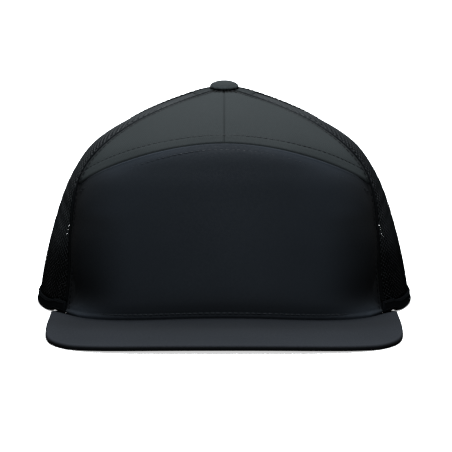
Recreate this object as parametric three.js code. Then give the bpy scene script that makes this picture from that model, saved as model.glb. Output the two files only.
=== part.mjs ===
import * as THREE from 'three';

// Flat bill cap with one wide front panel, two upper panels, four net panels and a flat bill.
// Millimetres, +Z up, the bill points towards -Y, and the cap stands on z = 0.
// Azimuth is in degrees round the crown's axis: 0 at the front, 90 at +X, 180 at the back.

// Cloth and seams
const CLOTH = 2; // front panel, upper panels, hems and bindings
const NET = 1.5; // side and back panels
const PROUD = 0.4; // how far hems and bindings stand out of the panels
const SEAM_GAP = 0.4; // between sewn neighbours

// Crown, level by level from the rim to the ring under the button.
// Each column is a place round the crown, as [distance from the axis, height over the rim],
// and seam is the azimuth where the front panels meet the side panels.
const CROWN = [
  { front: [98, 0], corner: [95.5, 0], side: [95, 0], rear: [96.5, 0], back: [98, 0], seam: 57 },
  { front: [95.5, 20], corner: [91.8, 20], side: [91.8, 20], rear: [93, 20], back: [94.5, 20], seam: 58.5 },
  { front: [91.5, 42], corner: [88.7, 42], side: [87, 40.5], rear: [88.5, 40], back: [89.5, 40], seam: 61 },
  { front: [86.5, 61.5], corner: [85.3, 60], side: [81.6, 57.5], rear: [82.5, 57], back: [83, 57], seam: 63 },
  { front: [82, 76.2], corner: [80.3, 73.5], side: [75.2, 70.2], rear: [75.5, 70], back: [75.5, 70], seam: 62.5 },
  { front: [74.8, 89], corner: [72, 85.6], side: [66.3, 81.7], rear: [66, 81.2], back: [66, 81.2], seam: 57.5 },
  { front: [58.5, 98.6], corner: [57, 95.2], side: [53, 91.2], rear: [53, 90.9], back: [53, 90.9], seam: 54.5 },
  { front: [38, 104.9], corner: [37, 102], side: [35, 99.8], rear: [35, 99.6], back: [35, 99.6], seam: 53.5 },
  { front: [14, 107.7], corner: [14, 107.6], side: [14, 107.5], rear: [14, 107.4], back: [14, 107.4], seam: 54 },
  { front: [4, 109.4], corner: [4, 109.4], side: [4, 109.4], rear: [4, 109.4], back: [4, 109.4], seam: 54 },
];
const COLUMNS = [
  { name: 'front', azimuth: 0 },
  { name: 'corner', azimuth: 60 },
  { name: 'side', azimuth: 90 },
  { name: 'rear', azimuth: 120 },
  { name: 'back', azimuth: 180 },
];
const TOP = CROWN.length - 1; // the last level
const REAR_SEAM = 120; // azimuth of the seam between side and back panels

// Height of the rim's lower edge round the cap
const RIM = [
  { azimuth: 0, height: 6.9 },
  { azimuth: 50, height: 2 },
  { azimuth: 64.5, height: 1.8 },
  { azimuth: 67.5, height: 0.5 },
  { azimuth: 72, height: 0 },
  { azimuth: 92, height: 0.4 },
  { azimuth: 120, height: 0 },
  { azimuth: 180, height: 0 },
];
const RIM_FADE = 4; // the level where the rim's rise has died away
const RIM_STEP = RIM.slice(2, 5).map((row) => row.azimuth); // where it drops beside the bill's end

// Arch seam between the front panel and the upper panels, in levels
const ARCH_MIDDLE = 5.22;
const ARCH_END = 3.35;
const ARCH_CURVE = 2.05;

// Hem along the foot of the net panels and binding round the back opening
const HEM_TOP = 0.3; // level of the hem's upper edge, 6 mm over the rim
const BINDING_WIDTH = 8;
const OPENING = { halfWidth: 38, height: 46 };

// Sweatband and back strap
const SWEATBAND = { end: 149, low: 0.05, high: 1.4, thickness: 1.5 };
const STRAP = { end: 152, low: 0.06, high: 0.95, thickness: 1.8 };

// Bill
const BILL = {
  thickness: 2.8,
  seamThickness: 1.3, // where it is sewn to the crown
  thickening: 20, // from there to where it has its full thickness
  end: 64, // azimuth of its ends
  front: 166.8, // from the crown's axis to the front edge
  halfWidth: 88.7,
  centre: 90, // from the crown's axis to the widest place
  squareness: 4.1, // power of the outline's superellipse
  arch: 1.7, // rise of the front edge's middle
  archReach: 76, // half width of that rise
  sidePull: 2.4, // how far the sides would draw in beside the crown's axis
};

// Button
const BUTTON = { radius: 7.3, foot: 6.7, height: 3.4, roll: 0.7 };

// Facets along and across the pieces
const ROWS = { front: 9, upper: 9, bill: 8, sweatband: 3, strap: 2, button: 6 };
const COLS = {
  front: 22, upper: 11, side: 8, back: 5, arch: 9, hemOverBill: 2, hem: 15, bill: 44,
  sweatband: 50, strap: 12, button: 28,
};
const FIT = 0.001; // how closely the bill's outline is found

// Colours
const BLACK_TWILL = { color: 0x1c1f22, roughness: 0.9 };
const GREY_TWILL = { color: 0x3c4042, roughness: 0.9 };
const BLACK_NET = { color: 0x0a0b0c, roughness: 0.7 };
const BLACK_TAPE = { color: 0x111214, roughness: 0.85 };
const BILL_CLOTH = { color: 0x33363a, roughness: 0.88 };
const BLACK_PLASTIC = { color: 0x0d0e0f, roughness: 0.4 };

const radians = THREE.MathUtils.degToRad;
const mix = THREE.MathUtils.lerp;
const ease = (share) => (1 - Math.cos(Math.PI * share)) / 2;
const fromFront = (azimuth) => (azimuth > 180 ? 360 - azimuth : Math.abs(azimuth));

// Height of the rim at an azimuth, eased between the rows of the table
function rimHeight(azimuth) {
  const away = fromFront(azimuth);
  const next = Math.max(1, RIM.findIndex((row) => row.azimuth >= away));
  const [a, b] = [RIM[next - 1], RIM[next]];
  return mix(a.height, b.height, ease((away - a.azimuth) / (b.azimuth - a.azimuth)));
}

// Value at a level of one quantity that each row of the crown gives
function throughLevels(level, quantity) {
  const low = Math.min(Math.floor(level), TOP - 1);
  const value = (row) => quantity(CROWN[THREE.MathUtils.clamp(row, 0, TOP)]);
  const before = low > 0 ? value(low - 1) : 2 * value(0) - value(1);
  const after = low + 2 <= TOP ? value(low + 2) : 2 * value(TOP) - value(TOP - 1);
  return catmullRom(level - low, before, value(low), value(low + 1), after);
}

function catmullRom(share, p0, p1, p2, p3) {
  const [slopeIn, slopeOut] = [(p2 - p0) / 2, (p3 - p1) / 2];
  return hermite(share, p1, p2, slopeIn, slopeOut);
}

function hermite(share, start, end, slopeIn, slopeOut) {
  const [s2, s3] = [share ** 2, share ** 3];
  return start * (2 * s3 - 3 * s2 + 1) + end * (3 * s2 - 2 * s3)
    + slopeIn * (s3 - 2 * s2 + share) + slopeOut * (s3 - s2);
}

// Smooth curve round the crown through one value for each column, level at front and back
function roundCrown(azimuth, values) {
  const away = fromFront(azimuth);
  const last = COLUMNS.length - 1;
  const low = Math.min(COLUMNS.findLastIndex((column) => column.azimuth <= away), last - 1);
  const slope = (i) => (i === 0 || i === last ? 0
    : (values[i + 1] - values[i - 1]) / (COLUMNS[i + 1].azimuth - COLUMNS[i - 1].azimuth));
  const width = COLUMNS[low + 1].azimuth - COLUMNS[low].azimuth;
  const share = (away - COLUMNS[low].azimuth) / width;
  return hermite(share, values[low], values[low + 1], slope(low) * width, slope(low + 1) * width);
}

const seamAzimuth = (level) => throughLevels(level, (row) => row.seam);

// Point of the crown's outer face
function crownPoint(azimuth, level) {
  const measure = (part) => roundCrown(azimuth,
    COLUMNS.map((column) => throughLevels(level, (row) => row[column.name][part])));
  const [out, up] = [measure(0), measure(1)];
  const fade = Math.max(0, 1 - level / RIM_FADE) ** 2;
  const angle = radians(azimuth);
  return new THREE.Vector3(out * Math.sin(angle), -out * Math.cos(angle), up + rimHeight(azimuth) * fade);
}

// Outward direction there, level at the rim, so that the rim's lower edge is flat
function crownNormal(azimuth, level) {
  const [turn, climb] = [0.5, 0.05];
  const low = Math.max(0, level - climb);
  const along = crownPoint(azimuth + turn, level).sub(crownPoint(azimuth - turn, level));
  const up = crownPoint(azimuth, Math.min(TOP, level + climb)).sub(crownPoint(azimuth, low));
  const normal = along.cross(up).normalize();
  normal.z *= Math.min(1, level / HEM_TOP);
  return normal.normalize();
}

// A closed wall between two grids of points that have the same rows and columns
function wallGeometry(outer, inner) {
  const [rows, columns] = [outer.length, outer[0].length];
  const positions = [outer, inner].flatMap((grid) => grid.flat().flatMap((point) => point.toArray()));
  const outerAt = (row, column) => row * columns + column;
  const innerAt = (row, column) => rows * columns + outerAt(row, column);
  const faces = [];
  const quad = (a, b, c, d) => faces.push(a, b, c, a, c, d);
  for (let row = 0; row < rows - 1; row += 1) {
    for (let column = 0; column < columns - 1; column += 1) {
      quad(outerAt(row, column), outerAt(row, column + 1),
        outerAt(row + 1, column + 1), outerAt(row + 1, column));
      quad(innerAt(row, column), innerAt(row + 1, column),
        innerAt(row + 1, column + 1), innerAt(row, column + 1));
    }
    quad(outerAt(row, 0), outerAt(row + 1, 0), innerAt(row + 1, 0), innerAt(row, 0));
    quad(outerAt(row, columns - 1), innerAt(row, columns - 1),
      innerAt(row + 1, columns - 1), outerAt(row + 1, columns - 1));
  }
  for (let column = 0; column < columns - 1; column += 1) {
    quad(outerAt(0, column), innerAt(0, column), innerAt(0, column + 1), outerAt(0, column + 1));
    quad(outerAt(rows - 1, column), outerAt(rows - 1, column + 1),
      innerAt(rows - 1, column + 1), innerAt(rows - 1, column));
  }
  if (signedVolume(positions, faces) < 0) faces.reverse();
  const geometry = new THREE.BufferGeometry();
  geometry.setAttribute('position', new THREE.Float32BufferAttribute(positions, 3));
  geometry.setIndex(faces);
  geometry.computeVertexNormals();
  return geometry;
}

function signedVolume(positions, faces) {
  const corner = (i) => new THREE.Vector3().fromArray(positions, faces[i] * 3);
  let volume = 0;
  for (let i = 0; i < faces.length; i += 3) {
    volume += corner(i).dot(corner(i + 1).cross(corner(i + 2))) / 6;
  }
  return volume;
}

// Draws the edges of a grid in, so that a piece stays clear of its neighbours
function drawIn(grid, edges) {
  const [lastRow, lastColumn] = [grid.length - 1, grid[0].length - 1];
  const drawn = grid.map((line) => line.map((point) => point.clone()));
  const pull = (row, column, towardsRow, towardsColumn) => {
    const way = grid[towardsRow][towardsColumn].clone().sub(grid[row][column]);
    drawn[row][column].addScaledVector(way.normalize(), SEAM_GAP / 2);
  };
  grid.forEach((line, row) => {
    if (edges.sides) pull(row, 0, row, 1);
    if (edges.sides) pull(row, lastColumn, row, lastColumn - 1);
  });
  grid[0].forEach((point, column) => {
    if (edges.foot) pull(0, column, 1, column);
    if (edges.head) pull(lastRow, column, lastRow - 1, column);
  });
  return drawn;
}

// A curved wall of the crown: spots is a grid of azimuths and levels, sunk is how far the
// outer face lies inside the crown's face, and edges says which edges have a neighbour
function crownWall(spots, thickness, sunk, edges) {
  const normals = spots.map((line) => line.map((spot) => crownNormal(spot.azimuth, spot.level)));
  const face = spots.map((line, row) => line.map((spot, column) => (
    crownPoint(spot.azimuth, spot.level).addScaledVector(normals[row][column], -sunk))));
  const outer = drawIn(face, edges);
  const inner = outer.map((line, row) => line.map((point, column) => (
    point.clone().addScaledVector(normals[row][column], -thickness))));
  return wallGeometry(outer, inner);
}

const steps = (count, start = 0, end = 1) => (
  Array.from({ length: count + 1 }, (unused, i) => mix(start, end, i / count)));

// Levels of the arch seam, by the share of the way from the centre to the side seam
const archLevel = (share) => mix(ARCH_MIDDLE, ARCH_END, Math.abs(share) ** ARCH_CURVE);

// Levels along the side seams, where every panel has its rows
const SEAM_LEVELS = [
  ...steps(ROWS.front, 0, ARCH_END),
  ...steps(ROWS.upper, ARCH_END, TOP).slice(1),
];

function frontPanel() {
  const spots = steps(ROWS.front).map((rise) => steps(COLS.front, -1, 1).map((share) => {
    const level = archLevel(share) * rise;
    return { azimuth: share * seamAzimuth(level), level };
  }));
  return crownWall(spots, CLOTH, 0, { sides: true, head: true });
}

function upperPanel(side) {
  const spots = steps(ROWS.upper).map((rise) => steps(COLS.upper).map((share) => {
    const level = mix(archLevel(share), TOP, rise);
    return { azimuth: side * share * seamAzimuth(level), level };
  }));
  return crownWall(spots, CLOTH, 0, { sides: true, foot: true });
}

// Levels of a net panel's rows, from its lower edge to the top
const netLevels = (foot) => SEAM_LEVELS.map((level) => mix(foot, TOP, level / TOP));

function sideNet(side) {
  const spots = netLevels(HEM_TOP).map((level) => steps(COLS.side).map((share) => (
    { azimuth: side * mix(seamAzimuth(level), REAR_SEAM, share), level })));
  return crownWall(spots, NET, 0, { sides: true, foot: true });
}

// Spot on the arched opening's edge, drawn out by a margin: angle 0 at the rim, 90 at the top
function openingSpot(margin, angle) {
  const spread = THREE.MathUtils.radToDeg((OPENING.halfWidth + margin) / CROWN[0].back[0]);
  const rise = (OPENING.height + margin) / CROWN[1].back[1];
  return {
    azimuth: 180 - spread * Math.cos(radians(angle)),
    level: rise * Math.sin(radians(angle)),
  };
}

// Angles along the binding's outer edge, from the hem's upper edge to the top of the arch
const BINDING_RISE = openingSpot(BINDING_WIDTH, 90).level;
const HEM_ANGLE = THREE.MathUtils.radToDeg(Math.asin(HEM_TOP / BINDING_RISE));
const ARCH_ANGLES = steps(COLS.arch, HEM_ANGLE, 90);

function backNet(side) {
  const arch = ARCH_ANGLES.map((angle) => openingSpot(BINDING_WIDTH + SEAM_GAP, angle));
  const plain = steps(COLS.back, REAR_SEAM, arch[0].azimuth).slice(0, -1).map((azimuth) => (
    { azimuth, level: HEM_TOP }));
  const feet = [...plain, ...arch];
  const spots = SEAM_LEVELS.map((unused, row) => feet.map((foot) => (
    { azimuth: side * foot.azimuth, level: netLevels(foot.level)[row] })));
  return crownWall(spots, NET, 0, { sides: true, foot: true });
}

function hem(side) {
  const spots = [0, HEM_ANGLE].map((angle) => {
    const end = openingSpot(BINDING_WIDTH, angle);
    const [high, dropped, low] = RIM_STEP;
    const overBill = steps(COLS.hemOverBill, seamAzimuth(end.level), high);
    return [...overBill, dropped, ...steps(COLS.hem, low, end.azimuth)].map((azimuth) => (
      { azimuth: side * azimuth, level: end.level }));
  });
  return crownWall(spots, CLOTH + PROUD, -PROUD, { sides: true, head: true });
}

function backBinding() {
  const angles = [0, ...ARCH_ANGLES];
  const spots = [0, BINDING_WIDTH].map((margin) => {
    const half = angles.map((angle) => openingSpot(margin, angle));
    const mirrored = half.map(({ azimuth, level }) => ({ azimuth: 360 - azimuth, level }));
    return [...half, ...mirrored.reverse().slice(1)];
  });
  return crownWall(spots, CLOTH + PROUD, -PROUD, { head: true });
}

function sweatband() {
  const spots = steps(ROWS.sweatband, SWEATBAND.low, SWEATBAND.high).map((level) => (
    steps(COLS.sweatband, -SWEATBAND.end, SWEATBAND.end).map((azimuth) => ({ azimuth, level }))));
  return crownWall(spots, SWEATBAND.thickness, CLOTH + SEAM_GAP, {});
}

function backStrap() {
  const spots = steps(ROWS.strap, STRAP.low, STRAP.high).map((level) => (
    steps(COLS.strap, STRAP.end, 360 - STRAP.end).map((azimuth) => ({ azimuth, level }))));
  return crownWall(spots, STRAP.thickness, CLOTH + SEAM_GAP, {});
}

// Where a ray from the crown's axis meets the bill's outline
function billReach(azimuth) {
  const angle = Math.abs(radians(azimuth));
  const inside = (reach) => {
    const across = reach * Math.sin(angle);
    const ahead = reach * Math.cos(angle) - BILL.centre;
    const behind = Math.max(0, -ahead / BILL.centre);
    const halfWidth = BILL.halfWidth - BILL.sidePull * behind;
    const depth = Math.max(0, ahead) / (BILL.front - BILL.centre);
    return (across / halfWidth) ** BILL.squareness + depth ** BILL.squareness < 1;
  };
  let [near, far] = [BILL.centre, BILL.front + BILL.halfWidth];
  while (far - near > FIT) {
    const middle = (near + far) / 2;
    if (inside(middle)) near = middle;
    else far = middle;
  }
  return near;
}

// Heights of the bill's upper and lower face, between the crown, share 0, and its outline, share 1
function billHeights(azimuth, across, span, share) {
  const seamTop = rimHeight(azimuth) - SEAM_GAP;
  const lift = BILL.arch * Math.max(0, 1 - Math.abs(across / BILL.archReach) ** 3);
  const edge = mix(BILL.seamThickness, BILL.thickness, Math.min(1, span / BILL.thickening));
  return [mix(seamTop, edge + lift, share), mix(seamTop - BILL.seamThickness, lift, share)];
}

function bill() {
  const shares = [0, ...steps(ROWS.bill)];
  const azimuths = steps(COLS.bill, -BILL.end, BILL.end);
  const face = (side) => shares.map((share, row) => azimuths.map((azimuth) => {
    const rim = crownPoint(azimuth, 0).setZ(0);
    const [start, edge] = [rim.length(), billReach(azimuth)];
    const point = rim.setLength(mix(start - (row === 0 ? CLOTH : 0), edge, share));
    return point.setZ(billHeights(azimuth, point.x, edge - start, share)[side]);
  }));
  return wallGeometry(face(0), face(1));
}

function button() {
  const seat = crownPoint(0, TOP).z + SEAM_GAP;
  const { radius, foot, height, roll } = BUTTON;
  const dome = steps(ROWS.button, 0, 90).map((angle) => new THREE.Vector2(
    radius * Math.cos(radians(angle)),
    seat + roll + (height - roll) * Math.sin(radians(angle)),
  ));
  dome[dome.length - 1].x = 0;
  const profile = [new THREE.Vector2(0, seat), new THREE.Vector2(foot, seat), ...dome];
  return new THREE.LatheGeometry(profile, COLS.button).rotateX(Math.PI / 2);
}

const cap = new THREE.Group();

function add(name, geometry, finish) {
  const mesh = new THREE.Mesh(geometry, new THREE.MeshStandardMaterial({ metalness: 0, ...finish }));
  mesh.name = name;
  cap.add(mesh);
}

add('front_panel', frontPanel(), BLACK_TWILL);
add('bill', bill(), BILL_CLOTH);
add('button', button(), GREY_TWILL);
add('back_binding', backBinding(), BLACK_TAPE);
add('sweatband', sweatband(), BLACK_TAPE);
add('back_strap', backStrap(), BLACK_PLASTIC);
for (const [name, side] of [['left', -1], ['right', 1]]) {
  add(`upper_panel_${name}`, upperPanel(side), GREY_TWILL);
  add(`side_net_${name}`, sideNet(side), BLACK_NET);
  add(`back_net_${name}`, backNet(side), BLACK_NET);
  add(`hem_${name}`, hem(side), BLACK_TAPE);
}

// The origin is at the middle of the cap's footprint
const box = new THREE.Box3().setFromObject(cap);
const centre = box.getCenter(new THREE.Vector3());
cap.position.set(-centre.x, -centre.y, -box.min.z);

export default cap;
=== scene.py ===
import math
from itertools import zip_longest
import bmesh
import bpy
import numpy as np
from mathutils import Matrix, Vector


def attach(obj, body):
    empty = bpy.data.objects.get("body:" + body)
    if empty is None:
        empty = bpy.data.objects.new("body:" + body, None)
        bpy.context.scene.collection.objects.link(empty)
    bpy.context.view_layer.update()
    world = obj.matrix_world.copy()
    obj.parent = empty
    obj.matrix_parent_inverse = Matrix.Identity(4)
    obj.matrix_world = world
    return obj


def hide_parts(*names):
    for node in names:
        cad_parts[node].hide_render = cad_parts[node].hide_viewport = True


# Flat bill cap: twill front, upper panels and bill, net sides and back.
# Blender metres, the bill points towards -Y and the cap stands on z = 0.
# Azimuth is in degrees round the crown's axis: 0 at the front, 90 at +X, 180 at the back.
# Level runs from 0 at the rim to 9 under the button, as in the rows of the crown's table.

mm = 0.001  # one millimetre
bothSides = (("Left", -1), ("Right", 1))
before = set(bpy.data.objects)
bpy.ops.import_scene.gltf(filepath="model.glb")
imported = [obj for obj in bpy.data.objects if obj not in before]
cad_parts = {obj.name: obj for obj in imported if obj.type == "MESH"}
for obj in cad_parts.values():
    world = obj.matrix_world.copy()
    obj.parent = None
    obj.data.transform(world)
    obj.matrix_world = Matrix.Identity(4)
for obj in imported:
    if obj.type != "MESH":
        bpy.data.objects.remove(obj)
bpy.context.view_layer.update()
print("frame loaded:", len(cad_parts), "nodes")

# Camera, at the photograph's angle
view = {
    "target": (0, 35.7 * mm, 60 * mm),  # on the crown's axis
    "elevation": 8.2,
    "distance": 3.5,
    "lens": 547.2,
    "sensor": 36,
    "right": 0.92 * mm,  # from the target to the picture's middle
    "down": 21.43 * mm,
}


def newObject(name, data):
    made = bpy.data.objects.new(name, data)
    bpy.context.collection.objects.link(made)
    return made


def meshObject(name, points, edges, faces):
    mesh = bpy.data.meshes.new(name)
    mesh.from_pydata(points, edges, faces)
    return newObject(name, mesh)


def addCamera():
    tilt = math.radians(view["elevation"])
    target = Vector(view["target"])
    eye = target + view["distance"] * Vector((0, -math.cos(tilt), math.sin(tilt)))
    down = view["down"] * Vector((0, math.sin(tilt), math.cos(tilt)))
    aim = target + Vector((view["right"], 0, 0)) - down
    data = bpy.data.cameras.new("camera")
    data.lens = view["lens"]
    data.sensor_width = view["sensor"]
    data.clip_end = 100
    camera = newObject("camera", data)
    camera.location = eye
    camera.rotation_euler = (aim - eye).to_track_quat("-Z", "Y").to_euler()
    bpy.context.scene.camera = camera


addCamera()
print("camera placed")

# The crown's outer face: for each level, the distance from the axis and the height over the rim
# at five places round it, and the azimuth where the twill panels meet the net
crown = {
    "axis": 35.7029 * mm,  # how far the crown's axis lies behind the cap's middle
    "top": 9,
    "columns": np.array([0.0, 60, 90, 120, 180]),
    "rows": mm * np.array([
        [[98, 0], [95.5, 0], [95, 0], [96.5, 0], [98, 0]],
        [[95.5, 20], [91.8, 20], [91.8, 20], [93, 20], [94.5, 20]],
        [[91.5, 42], [88.7, 42], [87, 40.5], [88.5, 40], [89.5, 40]],
        [[86.5, 61.5], [85.3, 60], [81.6, 57.5], [82.5, 57], [83, 57]],
        [[82, 76.2], [80.3, 73.5], [75.2, 70.2], [75.5, 70], [75.5, 70]],
        [[74.8, 89], [72, 85.6], [66.3, 81.7], [66, 81.2], [66, 81.2]],
        [[58.5, 98.6], [57, 95.2], [53, 91.2], [53, 90.9], [53, 90.9]],
        [[38, 104.9], [37, 102], [35, 99.8], [35, 99.6], [35, 99.6]],
        [[14, 107.7], [14, 107.6], [14, 107.5], [14, 107.4], [14, 107.4]],
        [[4, 109.4], [4, 109.4], [4, 109.4], [4, 109.4], [4, 109.4]],
    ]),
    "seams": np.array([57, 58.5, 61, 63, 62.5, 57.5, 54.5, 53.5, 54, 54]),
    "rimAzimuths": np.array([0, 50, 64.5, 67.5, 72, 92, 120, 180.0]),
    "rimHeights": mm * np.array([6.9, 2, 1.8, 0.5, 0, 0.4, 0, 0]),
    "rimFade": 4,  # the level where the rim's rise has died away
    "archMiddle": 5.22,  # levels of the arch seam
    "archEnd": 3.35,
    "archCurve": 2.05,
    "rearSeam": 120,
    "hemTop": 0.3,
}


def hermite(share, start, end, slopeIn, slopeOut):
    square, cube = share ** 2, share ** 3
    return (start * (2 * cube - 3 * square + 1) + end * (3 * square - 2 * cube)
            + slopeIn * (cube - 2 * square + share) + slopeOut * (cube - square))


def mix(start, end, share):
    return start + (end - start) * share


def smooth(share):
    share = np.clip(share, 0, 1)
    return share * share * (3 - 2 * share)


def throughLevels(level, values):
    padded = np.concatenate([2 * values[:1] - values[1:2], values, 2 * values[-1:] - values[-2:-1]])
    low = np.clip(np.floor(level).astype(int), 0, crown["top"] - 1)
    share = (level - low).reshape(level.shape + (1,) * (values.ndim - 1))
    before, start, end, after = (padded[low + i] for i in range(4))
    return hermite(share, start, end, (end - before) / 2, (after - start) / 2)


def fromFront(azimuth):
    return np.abs((azimuth + 180) % 360 - 180)


def rimHeight(azimuth):
    away = fromFront(np.asarray(azimuth, float))
    table = crown["rimAzimuths"]
    low = np.clip(np.searchsorted(table, away, side="right") - 1, 0, len(table) - 2)
    share = (away - table[low]) / (table[low + 1] - table[low])
    return mix(crown["rimHeights"][low], crown["rimHeights"][low + 1], (1 - np.cos(np.pi * share)) / 2)


def seamAzimuth(level):
    return throughLevels(np.asarray(level, float), crown["seams"])


def archLevel(share):
    return mix(crown["archMiddle"], crown["archEnd"], np.abs(share) ** crown["archCurve"])


def crownPoint(azimuth, level):
    azimuth, level = np.broadcast_arrays(np.asarray(azimuth, float), np.asarray(level, float))
    measures = throughLevels(level, crown["rows"])
    columns = crown["columns"]
    slopes, apart = np.zeros_like(measures), (columns[2:] - columns[:-2])[:, None]
    slopes[..., 1:-1, :] = (measures[..., 2:, :] - measures[..., :-2, :]) / apart
    away = fromFront(azimuth)
    low = np.clip(np.searchsorted(columns, away, side="right") - 1, 0, len(columns) - 2)
    width = (columns[low + 1] - columns[low])[..., None]
    share = (away - columns[low])[..., None] / width

    def at(table, column):
        return np.take_along_axis(table, column[..., None, None], axis=-2)[..., 0, :]

    measure = hermite(share, at(measures, low), at(measures, low + 1),
                      at(slopes, low) * width, at(slopes, low + 1) * width)
    fade = np.maximum(0, 1 - level / crown["rimFade"]) ** 2
    angle = np.radians(azimuth)
    return np.stack([measure[..., 0] * np.sin(angle), crown["axis"] - measure[..., 0] * np.cos(angle),
                     measure[..., 1] + rimHeight(azimuth) * fade], axis=-1)


def unit(vectors):
    return vectors / np.linalg.norm(vectors, axis=-1, keepdims=True)


def crownNormal(azimuth, level):
    azimuth, level = np.broadcast_arrays(np.asarray(azimuth, float), np.asarray(level, float))
    turn, climb = 0.5, 0.05
    along = crownPoint(azimuth + turn, level) - crownPoint(azimuth - turn, level)
    over, under = np.minimum(crown["top"], level + climb), np.maximum(0, level - climb)
    normal = unit(np.cross(along, crownPoint(azimuth, over) - crownPoint(azimuth, under)))
    normal[..., 2] *= np.minimum(1, level / crown["hemTop"])
    return unit(normal)


def onCrown(azimuth, level, offset=0.0):
    # points at an offset over the crown's face, negative towards the head
    return crownPoint(azimuth, level) + crownNormal(azimuth, level) * np.asarray(offset, float)[..., None]


def degreeLength(azimuth, level):
    return np.linalg.norm(crownPoint(azimuth + 0.5, level) - crownPoint(azimuth - 0.5, level), axis=-1)


def beside(azimuth, level, distance):
    # a path of spots moved sideways over the crown's face, to its left as it runs
    azimuth, level = np.asarray(azimuth, float), np.asarray(level, float)
    points, step = crownPoint(azimuth, level), 0.02
    along = unit(np.gradient(points, axis=0))
    across = np.cross(crownNormal(azimuth, level), along)
    turn = (crownPoint(azimuth + step, level) - points) / step
    climb = (crownPoint(azimuth, level - step) - points) / -step
    aa, ab, bb = (np.sum(p * q, axis=-1) for p, q in ((turn, turn), (turn, climb), (climb, climb)))
    ra, rb = np.sum(turn * across, axis=-1), np.sum(climb * across, axis=-1)
    scale = distance / (aa * bb - ab * ab)
    return azimuth + (ra * bb - rb * ab) * scale, level + (rb * aa - ra * ab) * scale


def closeSteps(edge, packed, middle):
    # steps from 0 to 1, packed within an edge share at both ends, closest at the very edge
    near = edge * np.linspace(0, 1, packed + 1) ** 1.5
    return np.concatenate([near[:-1], np.linspace(edge, 1 - edge, middle + 1)[:-1], 1 - near[::-1]])


def distanceTo(points, path):
    # shortest distance from each point to a path, and how far along the path it is
    flat = points.reshape(-1, 3)
    start, step = path[:-1], np.diff(path, axis=0)
    length = np.linalg.norm(step, axis=1)
    begun = np.concatenate([[0], np.cumsum(length)[:-1]])
    best, where = np.empty(len(flat)), np.empty(len(flat))
    block = 2000
    for first in range(0, len(flat), block):
        part = flat[first:first + block, None, :] - start
        share = np.clip(np.sum(part * step, axis=2) / length ** 2, 0, 1)
        gap = np.linalg.norm(part - share[..., None] * step, axis=2)
        nearest = gap.argmin(axis=1)
        rows = np.arange(len(nearest))
        best[first:first + block] = gap[rows, nearest]
        where[first:first + block] = begun[nearest] + share[rows, nearest] * length[nearest]
    return best.reshape(points.shape[:-1]), where.reshape(points.shape[:-1])


def bump(distance, centre, width):
    return np.exp(-((distance - centre) / width) ** 2)


def unevenness(points, size):
    # slow rise and fall of hand-sewn cloth, the same each run
    waves = ((31, 17, 43, 0.3), (-23, 41, 29, 1.9), (57, -37, 61, 4.1),
             (83, 67, -71, 2.6), (19, 97, 53, 5.2))  # three directions and a shift
    total = sum(np.sin(points @ np.array(wave[:3]) * 2.2 + wave[3]) for wave in waves)
    return size * total / len(waves)


# Meshes from grids of points

def outward(points, faces):
    # the same faces, turned outwards if they make a shape that is inside out
    corner = points[np.array([face[:3] for face in faces])]
    volume = np.sum(corner[:, 0] * np.cross(corner[:, 1], corner[:, 2]))
    for face in faces:
        for i in range(1, len(face) - 2):
            a, b, c = points[face[0]], points[face[i + 1]], points[face[i + 2]]
            volume += a @ np.cross(b, c)
    return [face[::-1] for face in faces] if volume < 0 else faces


def finishPiece(piece, material, nodes=()):
    piece.data.materials.clear()
    piece.data.materials.append(material)
    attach(piece, "root")
    if nodes:
        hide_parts(*nodes)


def makePiece(name, solid, material, nodes=(), shade=None):
    # solid: its points, its faces and each point's place on the unrolled cloth, for the weave
    # shade: a factor on the cloth's colour at each point: painted shade in hollows, under edges and towards
    # seams, and painted light where it is above 1
    points, faces, flat = solid
    piece = meshObject(name, points.tolist(), [], outward(points, faces))
    mesh = piece.data
    mesh.polygons.foreach_set("use_smooth", [True] * len(mesh.polygons))
    corners = np.empty(len(mesh.loops), int)
    mesh.loops.foreach_get("vertex_index", corners)
    mesh.uv_layers.new(name="cloth").data.foreach_set("uv", flat[corners].ravel())
    if shade is not None:
        mesh.attributes.new("shade", "FLOAT", "POINT").data.foreach_set("value", shade.ravel())
    finishPiece(piece, material, nodes)


def unrolled(grid):
    # lengths along a grid's rows from its middle column and up its columns from the first row
    across = np.linalg.norm(np.diff(grid, axis=1), axis=2)
    across = np.concatenate([np.zeros((len(grid), 1)), across.cumsum(axis=1)], axis=1)
    across -= across[:, grid.shape[1] // 2][:, None]
    up = np.linalg.norm(np.diff(grid, axis=0), axis=2)
    up = np.concatenate([np.zeros((1, grid.shape[1])), up.cumsum(axis=0)])
    return np.stack([across, up], axis=-1)


def wall(outer, inner):
    # points, faces and flat places of a closed wall between two grids
    rows, columns = outer.shape[:2]
    points = np.concatenate([outer.reshape(-1, 3), inner.reshape(-1, 3)])
    front = np.arange(rows * columns).reshape(rows, columns)
    back = front + rows * columns
    quads = [np.stack([front[:-1, :-1], front[:-1, 1:], front[1:, 1:], front[1:, :-1]], axis=-1),
             np.stack([back[:-1, :-1], back[1:, :-1], back[1:, 1:], back[:-1, 1:]], axis=-1)]
    for rim, under, turned in ((front[0], back[0], False), (front[-1], back[-1], True),
                               (front[:, 0], back[:, 0], True), (front[:, -1], back[:, -1], False)):
        side = [rim[:-1], under[:-1], under[1:], rim[1:]]
        quads.append(np.stack(side[::-1] if turned else side, axis=-1))
    faces = [face for quad in quads for face in quad.reshape(-1, 4).tolist()]
    flat = unrolled(outer).reshape(-1, 2)
    return points, faces, np.concatenate([flat, flat])


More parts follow.
